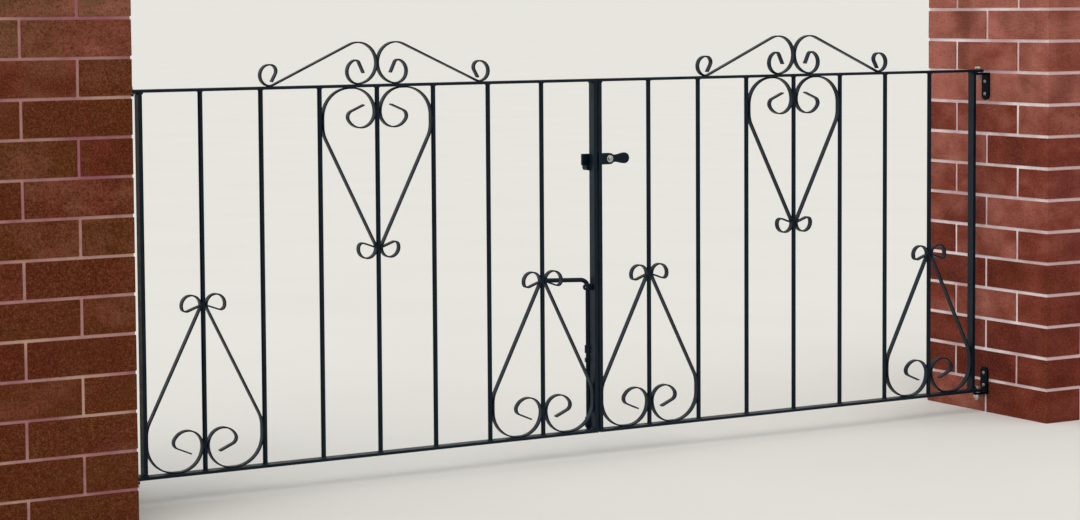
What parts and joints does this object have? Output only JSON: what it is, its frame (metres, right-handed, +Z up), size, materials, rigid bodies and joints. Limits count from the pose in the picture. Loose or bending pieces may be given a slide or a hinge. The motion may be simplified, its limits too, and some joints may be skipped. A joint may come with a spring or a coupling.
{
  "type": "driveway gate",
  "caption": "Low double-leaf wrought iron driveway gate with heart, foot and finial scrolls, hung between square brick piers, with a lever latch and a drop bolt.",
  "frame": {"origin": "centre of the left pier's foot, where it meets the ground", "axes": "+X along the gate from the left pier to the right pier, +Y away from the road side, +Z up"},
  "size_m": [3.226, 0.5, 1.197],
  "materials": {
    "black_paint": "satin black paint on mild steel",
    "zinc": "bright zinc plate",
    "brick": "red facing brick with pale mortar joints",
    "cap_stone": "plain cast stone"
  },
  "bodies": {
    "piers": {"left_pier": "brick", "right_pier": "brick", "left_pier_cap": "cap_stone", "right_pier_cap": "cap_stone", "left_top_hinge_bracket": "black_paint", "left_top_hinge_bolt": "zinc", "left_bottom_hinge_bracket": "black_paint", "left_bottom_hinge_bolt": "zinc", "right_top_hinge_bracket": "black_paint", "right_top_hinge_bolt": "zinc", "right_bottom_hinge_bracket": "black_paint", "right_bottom_hinge_bolt": "zinc"},
    "left_leaf": {"left_hinge_stile": "black_paint", "left_meeting_stile": "black_paint", "left_top_rail": "black_paint", "left_bottom_rail": "black_paint", "left_bars": "black_paint", "left_heart_scrolls": "black_paint", "left_hinge_foot_scrolls": "black_paint", "left_meeting_foot_scrolls": "black_paint", "left_finial_scrolls": "black_paint", "latch_keeper": "black_paint", "drop_bolt_guides": "black_paint", "drop_bolt_eye": "black_paint"},
    "right_leaf": {"right_hinge_stile": "black_paint", "right_meeting_stile": "black_paint", "right_top_rail": "black_paint", "right_bottom_rail": "black_paint", "right_bars": "black_paint", "right_heart_scrolls": "black_paint", "right_hinge_foot_scrolls": "black_paint", "right_meeting_foot_scrolls": "black_paint", "right_finial_scrolls": "black_paint", "latch_plate": "black_paint", "latch_bolt": "zinc"},
    "latch_lever": {"latch_lever": "black_paint"},
    "drop_bolt": {"drop_bolt": "black_paint"}
  },
  "joints": [
    {"name": "left_leaf_hinge", "type": "hinge", "parent": "piers", "child": "left_leaf", "pos_m": [0.3, 0, 0.052], "axis": [0, 0, 1], "range_deg": [0, 90]},
    {"name": "right_leaf_hinge", "type": "hinge", "parent": "piers", "child": "right_leaf", "pos_m": [2.481, 0, 0.052], "axis": [0, 0, -1], "range_deg": [0, 90]},
    {"name": "latch_lever_pivot", "type": "hinge", "parent": "right_leaf", "child": "latch_lever", "pos_m": [1.434, 0.0175, 0.656], "axis": [0, 1, 0], "range_deg": [0, 45]},
    {"name": "drop_bolt_slide", "type": "slide", "parent": "left_leaf", "child": "drop_bolt", "axis": [0, 0, -1], "range_m": [0, 0.07]}
  ]
}
